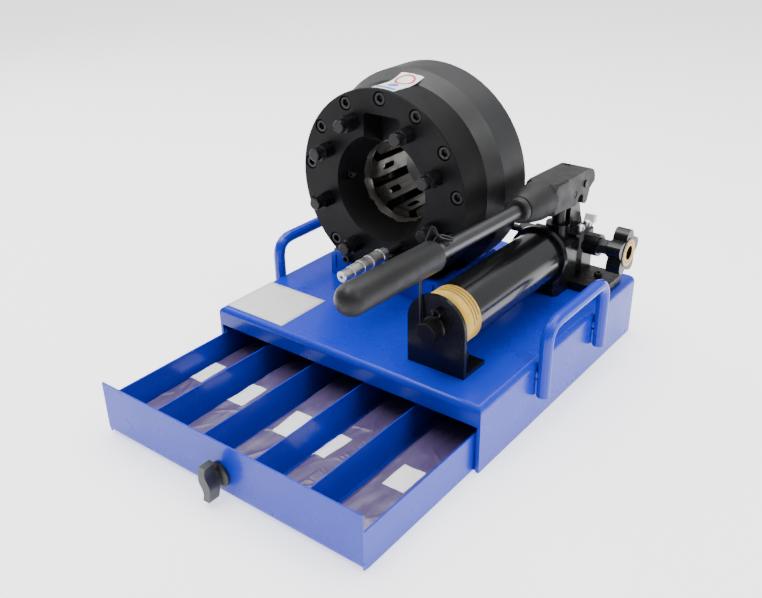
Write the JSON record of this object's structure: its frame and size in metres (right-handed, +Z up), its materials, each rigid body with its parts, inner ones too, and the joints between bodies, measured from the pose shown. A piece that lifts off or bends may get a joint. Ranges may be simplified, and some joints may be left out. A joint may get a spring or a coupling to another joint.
{
  "type": "manual hose crimping press",
  "caption": "Bench-top hydraulic hose crimping press: round die head and lever hand pump on a sheet-metal cabinet with an open die drawer.",
  "frame": {"origin": "middle of the cabinet's underside, where the press stands on the bench", "axes": "+Z up; -Y towards the operator, the way the drawer opens and the lever points; +X to the operator's right, the pump's side"},
  "size_m": [0.4326, 0.6145, 0.367],
  "materials": {
    "blue_paint": "glossy powder coat",
    "black_paint": "glossy paint",
    "blackened_steel": "black oxide on steel, lightly oiled",
    "cast_grey": "satin, fine cast grain",
    "bare_steel": "bare machined steel",
    "bright_steel": "polished",
    "seal_rubber": "matt",
    "grip_rubber": "matt, fine grain",
    "dark_plastic": "fine grain",
    "bag_film": "wrinkled tinted film"
  },
  "bodies": {
    "press_frame": {"cabinet_cover": "blue_paint", "cabinet_floor_pan": "blue_paint", "cabinet_back_panel": "blue_paint", "drawer_runner_left": "blue_paint", "drawer_runner_right": "blue_paint", "carry_handle_left": "blue_paint", "carry_handle_right": "blue_paint", "front_flange": "blackened_steel", "head_cylinder": "blackened_steel", "tie_nut_1": "blackened_steel", "tie_nut_2": "blackened_steel", "tie_nut_3": "blackened_steel", "tie_nut_4": "blackened_steel", "tie_nut_5": "blackened_steel", "tie_nut_6": "blackened_steel", "tie_nut_7": "blackened_steel", "tie_nut_8": "blackened_steel", "stop_rod": "blackened_steel", "cradle_front": "blue_paint", "cradle_rear": "blue_paint", "cradle_rail_left": "blue_paint", "cradle_rail_right": "blue_paint", "pump_bracket": "black_paint", "bracket_plug": "black_paint", "reservoir_tube": "black_paint", "pump_block": "black_paint", "rear_cover": "blackened_steel", "pressure_pipe": "blackened_steel"},
    "drawer": {"drawer_tray": "blue_paint", "drawer_divider_1": "blue_paint", "drawer_divider_2": "blue_paint", "drawer_divider_3": "blue_paint", "drawer_divider_4": "blue_paint", "die_pack_1": "bag_film", "die_pack_2": "bag_film", "die_pack_3": "bag_film", "die_pack_4": "bag_film", "die_pack_5": "bag_film"},
    "drawer_lock": {"drawer_knob": "dark_plastic", "drawer_lock_cam": "bare_steel"},
    "piston": {"piston": "bare_steel", "piston_seal": "seal_rubber"},
    "stop_barrel": {"stop_barrel": "bright_steel"},
    "release_valve": {"release_spindle": "blackened_steel", "release_knob": "black_paint"},
    "plunger": {"plunger": "blackened_steel"},
    "lever": {"lever_head": "cast_grey", "lever_bar": "bright_steel", "lever_grip": "grip_rubber", "lever_pivot_pin": "blackened_steel", "lever_link_pin": "cast_grey"},
    "lever_hook": {"lever_hook": "black_paint"},
    "master_die_1": {"master_die_1": "bare_steel"},
    "master_die_2": {"master_die_2": "bare_steel"},
    "master_die_3": {"master_die_3": "bare_steel"},
    "master_die_4": {"master_die_4": "bare_steel"},
    "master_die_5": {"master_die_5": "bare_steel"},
    "master_die_6": {"master_die_6": "bare_steel"},
    "master_die_7": {"master_die_7": "bare_steel"},
    "master_die_8": {"master_die_8": "bare_steel"}
  },
  "joints": [
    {"name": "drawer_slide", "type": "slide", "parent": "press_frame", "child": "drawer", "axis": [0, -1, 0], "range_m": [-0.1895, 0.06]},
    {"name": "drawer_lock_turn", "type": "hinge", "parent": "drawer", "child": "drawer_lock", "pos_m": [0, -0.3915, 0.029], "axis": [0, 1, 0], "range_deg": [0, 90]},
    {"name": "pump_lever", "type": "hinge", "parent": "press_frame", "child": "lever", "pos_m": [0.115, 0.152, 0.219], "axis": [-1, 0, 0], "range_deg": [0, 50]},
    {"name": "plunger_slide", "type": "slide", "parent": "press_frame", "child": "plunger", "axis": [0, 0, 1], "range_m": [0, 0.0244]},
    {"name": "release_valve_turn", "type": "hinge", "parent": "press_frame", "child": "release_valve", "pos_m": [0.19, 0.152, 0.1385], "axis": [1, 0, 0], "range_deg": [0, 360]},
    {"name": "hook_swing", "type": "hinge", "parent": "lever", "child": "lever_hook", "pos_m": [0.115, -0.145, 0.22833], "axis": [0, 0.9992, -0.0398], "range_deg": [0, 60]},
    {"name": "stop_barrel_turn", "type": "hinge", "parent": "press_frame", "child": "stop_barrel", "pos_m": [-0.02645, -0.1, 0.158], "axis": [0, 1, 0], "range_deg": [0, 360]},
    {"name": "piston_slide", "type": "slide", "parent": "press_frame", "child": "piston", "axis": [0, -1, 0], "range_m": [0, 0.014]},
    {"name": "master_die_1_slide", "type": "slide", "parent": "press_frame", "child": "master_die_1", "axis": [-0.9973, 0, 0.0732], "range_m": [0, 0.0082]},
    {"name": "master_die_2_slide", "type": "slide", "parent": "press_frame", "child": "master_die_2", "axis": [-0.757, 0, -0.6534], "range_m": [0, 0.0082]},
    {"name": "master_die_3_slide", "type": "slide", "parent": "press_frame", "child": "master_die_3", "axis": [-0.0732, 0, -0.9973], "range_m": [0, 0.0082]},
    {"name": "master_die_4_slide", "type": "slide", "parent": "press_frame", "child": "master_die_4", "axis": [0.6534, 0, -0.757], "range_m": [0, 0.0082]},
    {"name": "master_die_5_slide", "type": "slide", "parent": "press_frame", "child": "master_die_5", "axis": [0.9973, 0, -0.0732], "range_m": [0, 0.0082]},
    {"name": "master_die_6_slide", "type": "slide", "parent": "press_frame", "child": "master_die_6", "axis": [0.757, 0, 0.6534], "range_m": [0, 0.0082]},
    {"name": "master_die_7_slide", "type": "slide", "parent": "press_frame", "child": "master_die_7", "axis": [0.0732, 0, 0.9973], "range_m": [0, 0.0082]},
    {"name": "master_die_8_slide", "type": "slide", "parent": "press_frame", "child": "master_die_8", "axis": [-0.6534, 0, 0.757], "range_m": [0, 0.0082]}
  ],
  "couplings": [
    {"joint": "plunger_slide", "follows": "pump_lever", "m_per_rad": 0.0278},
    {"joint": "master_die_1_slide", "follows": "piston_slide", "ratio": 0.57735},
    {"joint": "master_die_2_slide", "follows": "piston_slide", "ratio": 0.57735},
    {"joint": "master_die_3_slide", "follows": "piston_slide", "ratio": 0.57735},
    {"joint": "master_die_4_slide", "follows": "piston_slide", "ratio": 0.57735},
    {"joint": "master_die_5_slide", "follows": "piston_slide", "ratio": 0.57735},
    {"joint": "master_die_6_slide", "follows": "piston_slide", "ratio": 0.57735},
    {"joint": "master_die_7_slide", "follows": "piston_slide", "ratio": 0.57735},
    {"joint": "master_die_8_slide", "follows": "piston_slide", "ratio": 0.57735}
  ]
}
